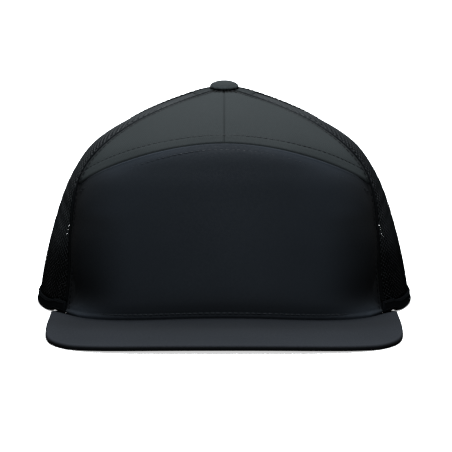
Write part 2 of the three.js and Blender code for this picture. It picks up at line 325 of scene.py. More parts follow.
def sweep(rings, closed=False):
    # points, faces and flat places of a solid whose section is each ring in turn
    count, size = rings.shape[:2]
    index = np.arange(count * size).reshape(count, size)
    here, there = (index, np.roll(index, -1, axis=0)) if closed else (index[:-1], index[1:])
    quads = np.stack([here, np.roll(here, -1, axis=1), np.roll(there, -1, axis=1), there], axis=-1)
    faces = quads.reshape(-1, 4).tolist()
    if not closed:
        faces += [index[0][::-1].tolist(), index[-1].tolist()]
    flat = unrolled(rings).reshape(-1, 2)
    return rings.reshape(-1, 3), faces, flat[:, ::-1]


def joined(parts):
    # several solids in one mesh
    points, faces, flat, used = [], [], [], 0
    for place, sides, cloth in parts:
        points.append(place)
        faces += [[corner + used for corner in face] for face in outward(place, sides)]
        flat.append(cloth)
        used += len(place)
    return np.concatenate(points), faces, np.concatenate(flat)


# Node trees, of materials and of geometry

def addNode(tree, kind, settings=None, values=(), **inputs):
    # values fill the first sockets in order, inputs fill sockets by name, each with a number or a link
    node = tree.nodes.new(kind)
    for key, value in (settings or {}).items():
        setattr(node, key, value)
    sockets = list(zip(node.inputs, values))
    for key, value in inputs.items():
        sockets.append((next(socket for socket in node.inputs if socket.enabled
                             and socket.name.replace(" ", "").lower() == key.lower()), value))
    for socket, value in sockets:
        if isinstance(value, bpy.types.NodeSocket):
            tree.links.new(value, socket)
        else:
            socket.default_value = value
    return node


def mathNode(tree, operation, first, second):
    return addNode(tree, "ShaderNodeMath", {"operation": operation}, (first, second)).outputs[0]


def weighted(tree, first, much, second, more):
    return mathNode(tree, "ADD", mathNode(tree, "MULTIPLY", first, much),
                    mathNode(tree, "MULTIPLY", second, more))


def scaledVector(tree, vector, factor):
    return addNode(tree, "ShaderNodeVectorMath", {"operation": "SCALE"}, (vector,), scale=factor).outputs[0]


def noiseNode(tree, place, scale, detail=3):
    return addNode(tree, "ShaderNodeTexNoise", vector=place, scale=scale, detail=detail).outputs["Fac"]


def mapRange(tree, value, low, high, outLow, outHigh):
    return addNode(tree, "ShaderNodeMapRange", value=value, fromMin=low, fromMax=high,
                   toMin=outLow, toMax=outHigh).outputs["Result"]


def colourBetween(tree, share, dark, light):
    return addNode(tree, "ShaderNodeMix", {"data_type": "RGBA"}, factor=share,
                   a=(*dark, 1), b=(*light, 1)).outputs["Result"]


def bandNode(tree, place, turn, pitch, distortion):
    # ribs at one pitch, turned on the cloth
    turned = addNode(tree, "ShaderNodeMapping", vector=place, rotation=(0, 0, math.radians(turn)))
    wave = addNode(tree, "ShaderNodeTexWave", {"bands_direction": "X"}, vector=turned.outputs["Vector"],
                   scale=math.tau / 20 / pitch, distortion=distortion, detail=1, detailScale=0.3)
    return wave.outputs["Fac"]


# Finishes

def newMaterial(name, look):
    material = bpy.data.materials.new(name)
    material.use_nodes = True
    shader = material.node_tree.nodes["Principled BSDF"]
    for socket, value in (
            ("Roughness", look["roughness"]), ("Specular IOR Level", look["gloss"]),
            ("Sheen Weight", look.get("sheen", 0)), ("Sheen Roughness", look.get("sheenRoughness", 0.5)),
            ("Sheen Tint", (*look.get("sheenTint", (1, 1, 1)), 1))):
        shader.inputs[socket].default_value = value
    return material, material.node_tree, shader


def addSurface(tree, shader, colour, height, strength, depth, grain, roughness, spread):
    # colour, relief and an uneven roughness for the shader
    relief = addNode(tree, "ShaderNodeBump", strength=strength, distance=depth, height=height)
    uneven = mapRange(tree, grain, 0.3, 0.7, roughness - spread, roughness + spread)
    normal = relief.outputs["Normal"]
    for socket, value in (("Base Color", colour), ("Normal", normal), ("Roughness", uneven)):
        tree.links.new(value, shader.inputs[socket])


def wovenMaterial(name, look):
    # twill, tape or jersey: two sets of yarns on the unrolled cloth, with slubs and faint wear, and painted
    # light and shade from the shade attribute where the look asks for it
    material, tree, shader = newMaterial(name, look)
    cloth = addNode(tree, "ShaderNodeUVMap", {"uv_map": "cloth"}).outputs["UV"]
    place = addNode(tree, "ShaderNodeTexCoord").outputs["Object"]
    ribs = bandNode(tree, cloth, look["twillTurn"], look["twillPitch"], 0.6)
    yarns = bandNode(tree, cloth, look["yarnTurn"], look["yarnPitch"], 0.8)
    slubs = noiseNode(tree, place, look["slubScale"])
    clouds = noiseNode(tree, place, look["cloudScale"], 2)
    weave = weighted(tree, ribs, 0.6, yarns, 0.4)
    height = mathNode(tree, "ADD", weave, mathNode(tree, "MULTIPLY", slubs, look["slubs"]))
    tone = weighted(tree, clouds, 0.5, weave, 0.5)
    colour = colourBetween(tree, mapRange(tree, tone, 0.25, 0.75, 0, 1), look["dark"], look["light"])
    # painted light and shade: the colour is scaled by the shade attribute
    if look.get("folds"):
        folds = addNode(tree, "ShaderNodeAttribute", {"attribute_name": "shade"})
        colour = scaledVector(tree, colour, folds.outputs["Fac"])
    addSurface(tree, shader, colour, height, look["weaveStrength"], look["weaveDepth"],
               slubs, look["roughness"], 0.06)
    return material


def grainMaterial(name, look):
    # thread, net yarn and moulded plastic: a fine grain in the object's own space, and painted shade by
    # height where heights are given
    material, tree, shader = newMaterial(name, look)
    place = addNode(tree, "ShaderNodeTexCoord").outputs["Object"]
    grain = noiseNode(tree, place, look["grainScale"])
    clouds = noiseNode(tree, place, look["cloudScale"], 2)
    colour = colourBetween(tree, mapRange(tree, clouds, 0.3, 0.7, 0, 1), look["dark"], look["light"])
    # painted shade by height: the colour is scaled by a ramp over the object's height
    if "heights" in look:
        height = addNode(tree, "ShaderNodeSeparateXYZ", vector=place).outputs["Z"]
        ramp = addNode(tree, "ShaderNodeValToRGB", fac=mapRange(tree, height, 0, look["top"], 0, 1))
        for stop, (share, tone) in zip_longest(list(ramp.color_ramp.elements), look["heights"]):
            stop = stop or ramp.color_ramp.elements.new(share)
            stop.position, stop.color = share, (tone, tone, tone, 1)
        colour = scaledVector(tree, colour, ramp.outputs["Color"])
    addSurface(tree, shader, colour, grain, look["grainStrength"], look["grainDepth"],
               grain, look["roughness"], 0.05)
    return material


twill = {
    "roughness": 0.86, "gloss": 0.1, "sheen": 0.0, "sheenRoughness": 0.45, "sheenTint": (0.85, 0.92, 1.0),
    "twillTurn": 38, "twillPitch": 0.75 * mm, "yarnTurn": -52, "yarnPitch": 0.42 * mm,
    "slubScale": 900, "slubs": 0.35, "cloudScale": 22, "weaveStrength": 0.35, "weaveDepth": 0.1 * mm,
}
tapeWeave = {
    **twill, "gloss": 0.06, "twillTurn": 0, "twillPitch": 0.9 * mm, "yarnTurn": 90, "yarnPitch": 0.6 * mm,
    "weaveDepth": 0.16 * mm,
}
thread = {
    "roughness": 0.6, "gloss": 0.15,
    "grainScale": 3200, "cloudScale": 120, "grainStrength": 0.5, "grainDepth": 0.06 * mm,
}
# frontTwill, crownTwill and billTwill are one black twill in lit and shaded copies: painted light makes the
# crown's copy lightest and painted shade makes the front's darkest, with the bill's between
frontTwill = wovenMaterial("frontTwill", {
    **twill, "folds": True, "gloss": 0.1,
    "dark": (0.0046, 0.0060, 0.0080), "light": (0.0070, 0.0088, 0.0113)})
crownTwill = wovenMaterial("crownTwill", {
    **twill, "folds": True, "gloss": 0.05,
    "dark": (0.0125, 0.0145, 0.0150), "light": (0.0165, 0.0190, 0.0196)})
billTwill = wovenMaterial("billTwill", {
    **twill, "folds": True, "gloss": 0.05,
    "dark": (0.0065, 0.0076, 0.0095), "light": (0.0092, 0.0106, 0.0130)})
# edgeTape and crownTape are one black tape in a shaded and a lit copy: painted light makes the tape over
# the crown's seams lighter, painted shade keeps the hems and binding dark
edgeTape = wovenMaterial("edgeTape", {
    **tapeWeave, "dark": (0.0009, 0.0011, 0.0014), "light": (0.0018, 0.0021, 0.0025), "gloss": 0.015})
crownTape = wovenMaterial("crownTape", {
    **tapeWeave, "dark": (0.0100, 0.0118, 0.0125), "light": (0.0140, 0.0162, 0.0168)})
bandCotton = wovenMaterial("bandCotton", {
    **tapeWeave, "dark": (0.0038, 0.0042, 0.0048), "light": (0.0065, 0.0070, 0.0078),
    "roughness": 0.92, "gloss": 0.1, "sheen": 0.15,
    "twillPitch": 0.8 * mm, "yarnPitch": 1.1 * mm, "weaveDepth": 0.2 * mm})
netYarn = grainMaterial("netYarn", {
    "roughness": 0.55, "gloss": 0.06, "dark": (0.0125, 0.0142, 0.0155), "light": (0.0185, 0.0203, 0.0215),
    "top": 0.113,  # heights are shares of this, each with a factor on the yarn's colour there: painted shade, darkest low on the crown
    "heights": ((0.12, 0.02), (0.22, 0.05), (0.27, 0.15), (0.31, 0.32),
                (0.38, 0.48), (0.50, 0.42), (0.75, 0.7), (0.92, 0.95)),
    "grainScale": 2600, "cloudScale": 60, "grainStrength": 0.4, "grainDepth": 0.08 * mm})
# painted shade by height, as on the net: the cord's colour is darkest low on the crown
cordCotton = grainMaterial("cordCotton", {
    "roughness": 0.8, "gloss": 0.03, "dark": (0.0045, 0.0054, 0.0064), "light": (0.0068, 0.0080, 0.0092),
    "top": 0.113, "heights": ((0.25, 0.08), (0.45, 0.2), (0.65, 0.6), (0.85, 1.0)),
    "grainScale": 1500, "cloudScale": 300, "grainStrength": 0.6, "grainDepth": 0.15 * mm})
# sewingThread, frontThread, tapeThread and hemThread are one black thread in lit and shaded copies: painted
# light makes frontThread and tapeThread lighter, painted shade makes hemThread darker
sewingThread = grainMaterial("sewingThread", {
    **thread, "dark": (0.0038, 0.0046, 0.0056), "light": (0.0060, 0.0070, 0.0082)})
frontThread = grainMaterial("frontThread", {
    **thread, "dark": (0.0080, 0.0095, 0.0115), "light": (0.0115, 0.0135, 0.0160)})
tapeThread = grainMaterial("tapeThread", {
    **thread, "dark": (0.0090, 0.0105, 0.0112), "light": (0.0130, 0.0150, 0.0156)})
hemThread = grainMaterial("hemThread", {
    **thread, "roughness": 0.8, "gloss": 0.03,
    "dark": (0.0012, 0.0014, 0.0018), "light": (0.0022, 0.0026, 0.0032)})
strapPlastic = grainMaterial("strapPlastic", {
    "roughness": 0.38, "gloss": 0.5, "dark": (0.010, 0.0102, 0.0108), "light": (0.014, 0.0143, 0.015),
    "grainScale": 1400, "cloudScale": 40, "grainStrength": 0.25, "grainDepth": 0.05 * mm})
print("finishes made")

# Geometry Nodes

def newTree(name, inputs):
    tree = bpy.data.node_groups.new(name, "GeometryNodeTree")
    tree.interface.new_socket("Geometry", in_out="OUTPUT", socket_type="NodeSocketGeometry")
    tree.interface.new_socket("Geometry", in_out="INPUT", socket_type="NodeSocketGeometry")
    for label, kind in inputs:
        tree.interface.new_socket(label, in_out="INPUT", socket_type=kind)
    return tree, tree.nodes.new("NodeGroupInput").outputs, tree.nodes.new("NodeGroupOutput").inputs


def grownMesh(piece, tree, values):
    # runs the tree on the piece and keeps what it makes as a plain mesh
    modifier = piece.modifiers.new(tree.name, "NODES")
    modifier.node_group = tree
    for socket in tree.interface.items_tree:
        if socket.item_type == "SOCKET" and socket.in_out == "INPUT" and socket.name in values:
            modifier[socket.identifier] = values[socket.name]
    evaluated = piece.evaluated_get(bpy.context.evaluated_depsgraph_get())
    mesh = bpy.data.meshes.new_from_object(evaluated)
    piece.modifiers.remove(modifier)
    piece.data = mesh


def closeTree(tree, geometry, finish, result):
    # what the tree gives back: plain geometry, smooth and in its material
    real = addNode(tree, "GeometryNodeRealizeInstances", geometry=geometry)
    shaded = addNode(tree, "GeometryNodeSetShadeSmooth", geometry=real.outputs[0])
    painted = addNode(tree, "GeometryNodeSetMaterial", geometry=shaded.outputs[0], material=finish)
    tree.links.new(painted.outputs[0], result["Geometry"])
    return tree


def netTree():
    # a lattice becomes a net: a hole at each of its points, and rounded yarn between the holes
    tree, given, result = newTree("netWeave", [
        ("Hole share", "NodeSocketFloat"), ("Yarn thickness", "NodeSocketFloat"),
        ("Finish", "NodeSocketMaterial")])
    cells = addNode(tree, "GeometryNodeDualMesh", mesh=given["Geometry"])
    sides = addNode(tree, "GeometryNodeInputMeshEdgeNeighbors")
    border = addNode(tree, "FunctionNodeCompare", {"data_type": "INT", "operation": "EQUAL"},
                     a=sides.outputs["Face Count"], b=1)
    half = mathNode(tree, "MULTIPLY", given["Yarn thickness"], 0.5)
    keep = addNode(tree, "GeometryNodeCaptureAttribute", {"domain": "POINT"})
    keep.capture_items.new("VECTOR", "facing")
    keep.capture_items.new("BOOLEAN", "border")
    tree.links.new(cells.outputs[0], keep.inputs["Geometry"])
    tree.links.new(addNode(tree, "GeometryNodeInputNormal").outputs["Normal"], keep.inputs["facing"])
    tree.links.new(border.outputs["Result"], keep.inputs["border"])
    lift = addNode(tree, "GeometryNodeSwitch", {"input_type": "FLOAT"},
                   switch=keep.outputs["border"], false=half, true=0.0)
    rings = addNode(tree, "GeometryNodeExtrudeMesh", mesh=keep.outputs["Geometry"],
                    offsetScale=0.0, individual=True)
    holes = addNode(tree, "GeometryNodeScaleElements", geometry=rings.outputs["Mesh"],
                    selection=rings.outputs["Top"], scale=given["Hole share"])
    ridge = addNode(tree, "FunctionNodeBooleanMath", {"operation": "NOT"}, (rings.outputs["Top"],))
    layers = []
    for way in (1.0, -1.0):
        reach = mathNode(tree, "MULTIPLY", lift.outputs[0], way)
        shift = scaledVector(tree, keep.outputs["facing"], reach)
        raised = addNode(tree, "GeometryNodeSetPosition", geometry=holes.outputs["Geometry"],
                         selection=ridge.outputs[0], offset=shift)
        opened = addNode(tree, "GeometryNodeDeleteGeometry", {"domain": "FACE"},
                         geometry=raised.outputs[0], selection=rings.outputs["Top"])
        layers.append(opened)
    turned = addNode(tree, "GeometryNodeFlipFaces", mesh=layers[1].outputs[0])
    both = tree.nodes.new("GeometryNodeJoinGeometry")
    tree.links.new(layers[0].outputs[0], both.inputs[0])
    tree.links.new(turned.outputs[0], both.inputs[0])
    sewn = addNode(tree, "GeometryNodeMergeByDistance", geometry=both.outputs[0], distance=0.02 * mm)
    return closeTree(tree, sewn.outputs[0], given["Finish"], result)


def stitchTree():
    # paths become rows of stitches that lie along them, on the cloth's face
    tree, given, result = newTree("stitchRow", [
        ("Pitch", "NodeSocketFloat"), ("Length", "NodeSocketFloat"), ("Thread", "NodeSocketFloat"),
        ("Finish", "NodeSocketMaterial")])
    curve = addNode(tree, "GeometryNodeMeshToCurve", mesh=given["Geometry"])
    spaced = addNode(tree, "GeometryNodeResampleCurve", {"mode": "LENGTH"},
                     curve=curve.outputs[0], length=given["Pitch"])
    facing = addNode(tree, "GeometryNodeInputNamedAttribute", {"data_type": "FLOAT_VECTOR"}, name="facing")
    along = addNode(tree, "FunctionNodeAlignRotationToVector", {"axis": "X"},
                    vector=addNode(tree, "GeometryNodeInputTangent").outputs[0])
    upright = addNode(tree, "FunctionNodeAlignRotationToVector", {"axis": "Z", "pivot_axis": "X"},
                      rotation=along.outputs[0], vector=facing.outputs["Attribute"])
    bead = addNode(tree, "GeometryNodeMeshUVSphere", segments=6, rings=4, radius=0.5)
    size = addNode(tree, "ShaderNodeCombineXYZ", x=given["Length"], y=given["Thread"], z=given["Thread"])
    stitch = addNode(tree, "GeometryNodeTransform", geometry=bead.outputs["Mesh"], scale=size.outputs[0])
    row = addNode(tree, "GeometryNodeInstanceOnPoints", points=spaced.outputs[0],
                  instance=stitch.outputs[0], rotation=upright.outputs[0])
    return closeTree(tree, row.outputs[0], given["Finish"], result)


netWeave, stitchRow = netTree(), stitchTree()
print("trees built")

# Seams and what they do to the cloth beside them
seams = {
    "samples": 320,
    # a valley at each seam, rolled cloth beside it, and a dip under the row of stitches, in mm
    "columns": ("valley", "valleyWidth", "roll", "rollAt", "rollWidth", "row", "rowDip", "rowWidth"),
    "table": {
        "archAbove": (-0.4, 0.35, 0.03, 1.2, 0.7, 5.3, -0.13, 0.5),
        "archBelow": (-0.4, 0.35, 0.16, 0.9, 0.55, 5.0, -0.05, 0.5),
        "centre": (-0.4, 0.4, 0.06, 1.4, 1.0, 4.4, -0.06, 0.7),
        "side": (-0.7, 0.9, 0.08, 1.7, 1.2, 3.4, -0.05, 0.7),
        "join": (-0.35, 0.6, 0.4, 1.1, 0.7, 2.5, -0.2, 0.6),
    },
    "sink": 0.6 * mm,  # both sides bend down to the arch seam
    "step": 0.45 * mm,  # the part of that which the strip under the upper row of stitches takes
    "sinkAbove": 0.3 * mm,  # how near to the seam the rest lies
    "sinkBelow": 5 * mm,
    "pucker": 0.05 * mm,
    "puckerPitch": 4.3 * mm,
    "crimp": 0.16 * mm,  # of the front panel's edge along the bill
    "crimpPitch": 2.4 * mm,
    "crimpAt": 0.6 * mm,
    "crimpWidth": 1.4 * mm,
}
for name, row in seams["table"].items():
    seams[name] = {column: value * mm for column, value in zip(seams["columns"], row)}


def archPath():
    share = np.linspace(-1, 1, seams["samples"])
    level = archLevel(share)
    return share * seamAzimuth(level), level


def centrePath():
    level = np.linspace(crown["archMiddle"], crown["top"], seams["samples"] // 3)
    return np.zeros_like(level), level


def sidePath(side):
    level = np.linspace(0, crown["top"], seams["samples"])
    return side * seamAzimuth(level), level


def fromNet(points):
    # distance to the nearer of the front seams, where the twill meets the net
    return np.minimum(*(distanceTo(points, crownPoint(*sidePath(side)))[0] for side in (-1, 1)))


def joinPath():
    azimuth = np.linspace(-crown["seams"][0], crown["seams"][0], seams["samples"])
    return azimuth, np.zeros_like(azimuth)


def sinkAbove(away):
    strip = np.clip(1 - away / seams["archAbove"]["row"], 0, 1)
    return -seams["step"] * strip - (seams["sink"] - seams["step"]) * np.exp(-away / seams["sinkAbove"])


def sinkBelow(away):
    return -seams["sink"] * np.exp(-away / seams["sinkBelow"])


def fromArch(points):
    return distanceTo(points, crownPoint(*archPath()))[0]


def seamRelief(points, path, seam):
    # how far the cloth lies over or under the crown's face beside a seam, with small puckers
    away, along = distanceTo(points, crownPoint(*path))
    pucker = np.sin(along * math.tau / seams["puckerPitch"] + 1.7 * np.sin(along * 90))
    return (seam["valley"] * bump(away, 0, seam["valleyWidth"])
            + seam["roll"] * bump(away, seam["rollAt"], seam["rollWidth"])
            + seam["rowDip"] * bump(away, seam["row"], seam["rowWidth"])
            + seams["pucker"] * pucker * bump(away, seam["row"] * 0.7, seam["row"] * 0.5))


# Wall of the twill panels
panelWall = {
    "wall": 2.0 * mm,
    "edgeWall": 1.0 * mm,  # thinner along the net, which is sewn under it
    "edgeFrom": 3 * mm,
    "edgeTo": 8 * mm,
}

# Front panel, stiff, from the bill to the arch seam
frontPanel = {
    "trim": 0.9995,  # its share of the room between the seams
    "across": (0.04, 16, 100),  # share of the closely stepped edge, its steps, and steps between the edges
    "up": (0.08, 13, 44),
    "unevenness": 0.16 * mm,
    "creases": ((24, 0.45), (47, 0.55), (70, 0.40)),  # pulls from a lower corner: slope, height in mm
    "creaseLength": 17 * mm,
    "creaseWidth": 2.0 * mm,
    # full above the lower corners, hollow under that: azimuth, level, their widths, height in mm
    "sides": ((48, 1.75, 13, 0.75, 1.7), (50, 0.55, 12, 0.40, -1.9), (50, 0.0, 14, 0.18, 1.1)),
    "edgeFall": 0.9 * mm,  # how far the panel sinks to the seams with the net
    "edgeRise": 0.9 * mm,  # how far it stands out beside that
    "edgeReach": 15 * mm,
    "edgeFade": 45 * mm,
    "archFade": 16 * mm,  # and how near to the arch seam that dies away
    "tuck": 1.3 * mm,  # how far it is drawn in over the bill
    "tuckReach": 8 * mm,
    "tuckEnd": (34, 50),  # azimuths where that dies away
    "sideShade": (0.66, 38, 62),  # soft shadow towards the net, and the azimuths where it begins and ends
    "edgeShade": (0.62, 6.0 * mm),  # and beside the net
    "flank": (0.47, 29, 47),  # and on the flanks, between these heights
    "flankHeights": (3 * mm, 14 * mm, 49 * mm, 57 * mm),
    "shades": (  # painted light and shade: azimuth, level, their widths, and how much lighter or darker
        (53, 0.85, 13, 0.45, -0.4), (33, 2.5, 9, 1.6, 0.15), (40, 3.6, 13, 0.9, 0.2),
        (0, 0.25, 36, 0.42, -0.46), (53, 0.0, 11, 0.3, 1.1)),
    # painted highlight on the folded edge along the arch seam: how much, where, width, from which azimuth
    # on
    "ridges": ((0.35, 0.9 * mm, 0.7 * mm, -30), (0.45, 2.2 * mm, 3.5 * mm, 2)),
    "ridgeEase": 25,
    "footDrop": 0.45 * mm,  # its lower edge rests on the bill
    "footShare": 0.02,
}


def wallThickness(points):
    near, far = panelWall["edgeFrom"], panelWall["edgeTo"]
    return mix(panelWall["edgeWall"], panelWall["wall"], smooth((fromNet(points) - near) / (far - near)))


def cornerPulls(points, settings):
    # short creases that fan out from the lower corners of the front panel
    total, end = np.zeros(points.shape[:-1]), crown["seams"][0]
    for side in (-1, 1):
        corner = crownPoint(side * end, 0.0)
        inward = unit(crownPoint(side * (end - 3), 0.0) - corner)
        up = unit(crownPoint(side * end, 0.4) - corner)
        spread, rise = (points - corner) @ inward, (points - corner) @ up
        for slope, height in settings["creases"]:
            angle = math.radians(slope)
            along = spread * math.cos(angle) + rise * math.sin(angle)
            off = -spread * math.sin(angle) + rise * math.cos(angle)
            width = settings["creaseWidth"] * (0.5 + np.clip(along, 0, None) / settings["creaseLength"])
            fade = smooth(along / (4 * mm)) * smooth(1.6 - along / settings["creaseLength"])
            total += height * mm * np.exp(-(off / width) ** 2) * fade
    return total


def shapedSides(azimuth, level, points, settings):
    # rises and hollows beside the lower corners, the fall to the side seams and the tuck over the bill
    away, netAway = fromFront(azimuth), fromNet(points)
    total = sum(height * mm * bump(away, place, width) * bump(level, rise, reach)
                for place, rise, width, reach, height in settings["sides"])
    reach, fade = settings["edgeReach"], settings["edgeFade"]
    rise = settings["edgeRise"] * smooth(netAway / reach) * (1 - smooth((netAway - reach) / (fade - reach)))
    rise *= smooth(fromArch(points) / settings["archFade"])
    fromBill, along = distanceTo(points, crownPoint(*joinPath()))
    crimp = seams["crimp"] * np.sin(along * math.tau / seams["crimpPitch"])
    crimp *= bump(fromBill, seams["crimpAt"], seams["crimpWidth"])
    near, far = settings["tuckEnd"]
    tuck = settings["tuck"] * (1 - smooth(fromBill / settings["tuckReach"]))
    tuck *= 1 - smooth((away - near) / (far - near))
    return total + rise - tuck + crimp - settings["edgeFall"] * (1 - smooth(netAway / reach))


def shadeOf(azimuth, level, points, settings):
    # painted light and shade, a factor on the cloth's colour: painted shade towards and beside the net and
    # in hollows, painted light where it is above 1, and 1 where nothing is painted
    away = fromFront(azimuth)
    much, begin, full = settings["sideShade"]
    shade = 1 - much * smooth((away - begin) / (full - begin)) * smooth((level + 0.1) / 0.8)
    much, reach = settings["edgeShade"]
    shade *= 1 - much * bump(fromNet(points), 0, reach)
    for place, rise, width, reach, much in settings["shades"]:
        shade *= 1 + much * bump(away, place, width) * bump(level, rise, reach)
    return shade


def buildFrontPanel():
    share = frontPanel["trim"] * (2 * closeSteps(*frontPanel["across"]) - 1)[None, :]
    rise = frontPanel["trim"] * closeSteps(*frontPanel["up"])[:, None]
    level = archLevel(share) * rise
    azimuth = share * seamAzimuth(level)
    points = crownPoint(azimuth, level)
    height = (sinkBelow(fromArch(points)) + seamRelief(points, archPath(), seams["archBelow"])
              + seamRelief(points, joinPath(), seams["join"])
              + sum(seamRelief(points, sidePath(side), seams["side"]) for side in (-1, 1))
              + unevenness(points, frontPanel["unevenness"]) + cornerPulls(points, frontPanel)
              + shapedSides(azimuth, level, points, frontPanel))
    outer = onCrown(azimuth, level, height)
    inner = onCrown(azimuth, level, -wallThickness(points))
    for face in (outer, inner):
        face[..., 2] -= frontPanel["footDrop"] * (1 - smooth(rise / frontPanel["footShare"]))
    # painted shade on the flanks and painted highlight along the arch seam
    much, begin, full = frontPanel["flank"]
    low, lowFull, highFull, high = frontPanel["flankHeights"]
    up = points[..., 2]
    flank = smooth((up - low) / (lowFull - low)) * smooth((high - up) / (high - highFull))
    flank *= smooth((fromFront(azimuth) - begin) / (full - begin))
    shade = shadeOf(azimuth, level, points, frontPanel) * (1 - much * flank)
    for much, place, width, begin in frontPanel["ridges"]:
        begun = smooth((fromFront(azimuth) - begin) / frontPanel["ridgeEase"])
        shade *= 1 + much * bump(fromArch(points), place, width) * begun
    makePiece("frontPanel", wall(outer, inner), frontTwill, ["front_panel"],
              np.stack([shade, shade]))


buildFrontPanel()
print("front panel sewn")

# Upper panels, from the arch seam to the button
upperPanels = {
    "trim": 0.9993,
    "across": (0.09, 13, 44),
    "up": (0.09, 13, 40),
    "unevenness": 0.13 * mm,
    "gathers": 0.16 * mm,  # small tucks where the panels meet under the button
    "gatherCount": 30,
    "gatherAt": 8.5 * mm,  # from the crown's axis
    "gatherWidth": 13 * mm / 3,
    # painted shade towards and beside the net, as on the front panel
    "sideShade": (0, 36, 61),
    "edgeShade": (0.8, 3.0 * mm),
    # painted light: azimuth, level, their widths, and how much lighter
    "shades": ((50, 4.3, 14, 0.9, 0.4), (0, 9, 200, 1.6, 0.28)),
    # painted shade on the strip along the arch seam, and painted light where it is negative: how much
    # darker it is in the middle, at the sides, and their azimuth
    "stripShade": (0.03, -0.15, 40),
    "stripEase": 0.15,
    "buttonShade": (0.12, 8.8 * mm, 11.2 * mm),  # painted shadow under the button, and the radii where it fades
}


def buildUpperPanels():
    for name, side in bothSides:
        trim = upperPanels["trim"]
        share = np.clip(closeSteps(*upperPanels["across"]), 1 - trim, trim)[None, :]
        rise = np.clip(closeSteps(*upperPanels["up"]), 1 - trim, 1)[:, None]
        level = mix(archLevel(share), crown["top"], rise)
        azimuth = side * share * seamAzimuth(level)
        points = crownPoint(azimuth, level)
        fromAxis = np.hypot(points[..., 0], points[..., 1] - crown["axis"])
        gathers = np.sin(np.radians(azimuth) * upperPanels["gatherCount"])
        gathers *= bump(fromAxis, upperPanels["gatherAt"], upperPanels["gatherWidth"])
        height = (sinkAbove(fromArch(points)) + seamRelief(points, archPath(), seams["archAbove"])
                  + seamRelief(points, centrePath(), seams["centre"])
                  + seamRelief(points, sidePath(side), seams["side"])
                  + unevenness(points, upperPanels["unevenness"]) + upperPanels["gathers"] * gathers)
        outer = onCrown(azimuth, level, height)
        inner = onCrown(azimuth, level, -wallThickness(points))
        # painted shade along the arch seam and painted shadow under the button
        middle, sides, width = upperPanels["stripShade"]
        much = mix(middle, sides, smooth(fromFront(azimuth) / width))
        strip = smooth((1 - fromArch(points) / seams["archAbove"]["row"]) / upperPanels["stripEase"])
        shade = shadeOf(azimuth, level, points, upperPanels) * (1 - much * strip)
        dark, near, far = upperPanels["buttonShade"]
        shade *= mix(dark, 1, smooth((fromAxis - near) / (far - near)))
        makePiece("upperPanel" + name, wall(outer, inner), crownTwill,
                  ["upper_panel_" + name.lower()], np.stack([shade, shade]))


buildUpperPanels()
print("upper panels sewn")

# Opening at the back, in the crown's own measures
opening = {
    "halfWidth": 38 * mm,
    "height": 46 * mm,
    "binding": 8 * mm,
    "radius": crown["rows"][0, 4, 0],  # the crown's at the back of the rim
    "levelHeight": crown["rows"][1, 4, 1],
}


def openingSpot(margin, angle):
    # a spot on the opening's edge drawn out by a margin, from angle 0 at the rim over to 180
    spread = np.degrees((opening["halfWidth"] + margin) / opening["radius"])
    rise = (opening["height"] + margin) / opening["levelHeight"]
    return 180 - spread * np.cos(np.radians(angle)), rise * np.sin(np.radians(angle))


def openingMargin(azimuth, level):
    # about how far a spot is from the opening's edge
    across = np.radians(180 - fromFront(azimuth)) * opening["radius"]
    up = level * opening["levelHeight"]
    reach = np.hypot(across, up)
    return reach - reach / np.hypot(across / opening["halfWidth"], up / opening["height"])


# Net panels
net = {
    "pitch": 2.15 * mm,  # between holes
    "hole": 0.54,  # hole's share of the pitch
    "yarn": 0.85 * mm,
    "depth": 0.75 * mm,  # of its middle under the crown's face
    "tuck": 2.7 * mm,  # how far it runs under the twill, the hem and the binding
    "tuckDepth": 0.9 * mm,  # how much deeper it lies there
    "ease": 3 * mm,
    "slant": 33,  # of its rows on the side panels, in degrees
    "tapeGap": 0.2 * mm,  # from the seam's line under the tape
    "ripple": 0.4 * mm,  # slack folds that run down to the front
    "ripplePitch": 8.5 * mm,
    "rippleFall": 0.28,
    "rippleLevel": 2.8,
    "rippleReach": 0.9,
    "top": 9.0,  # level where it ends under the button
    "sideMiddle": 90,  # azimuths of the panels' middles
    "backMiddle": 150,
    "halfSpan": 60,
}


def lattice(middle, slant, inside):
    # a slanted lattice of triangles over the crown near one azimuth, where inside() says so
    levels = np.linspace(0, crown["top"], 500)
    line = crownPoint(middle, levels)
    climbed = np.concatenate([[0], np.linalg.norm(np.diff(line, axis=0), axis=1).cumsum()])
    reach = int(180 * mm / net["pitch"])
    row, column = np.mgrid[-reach:reach + 1, -reach:reach + 1]
    across = (column + (row % 2) / 2) * net["pitch"]
    up = row * net["pitch"] * math.sqrt(3) / 2
    turn = math.radians(slant)
    spread = across * math.cos(turn) - up * math.sin(turn)
    climb = across * math.sin(turn) + up * math.cos(turn)
    onPanel = (climb >= 0) & (climb <= climbed[-1])
    level = np.interp(climb, climbed, levels)
    azimuth = middle + spread / np.interp(climb, climbed, degreeLength(middle, levels))
    kept = onPanel & (np.abs(azimuth - middle) < net["halfSpan"])
    kept[kept] = inside(azimuth[kept], level[kept])
    index = np.full(azimuth.shape, -1)
    index[kept] = np.arange(kept.sum())
    odd = (row[:-1, 0] % 2 == 1)[:, None]
    low, lowNext, high, highNext = index[:-1, :-1], index[:-1, 1:], index[1:, :-1], index[1:, 1:]
    halves = (((low, lowNext, highNext), (low, lowNext, high)),  # in odd rows and in even rows
              ((low, highNext, high), (high, lowNext, highNext)))
    triangles = np.concatenate([
        np.where(odd[..., None], np.stack(inOdd, -1), np.stack(inEven, -1)).reshape(-1, 3)
        for inOdd, inEven in halves])
    return azimuth[kept], level[kept], triangles[(triangles >= 0).all(axis=1)]


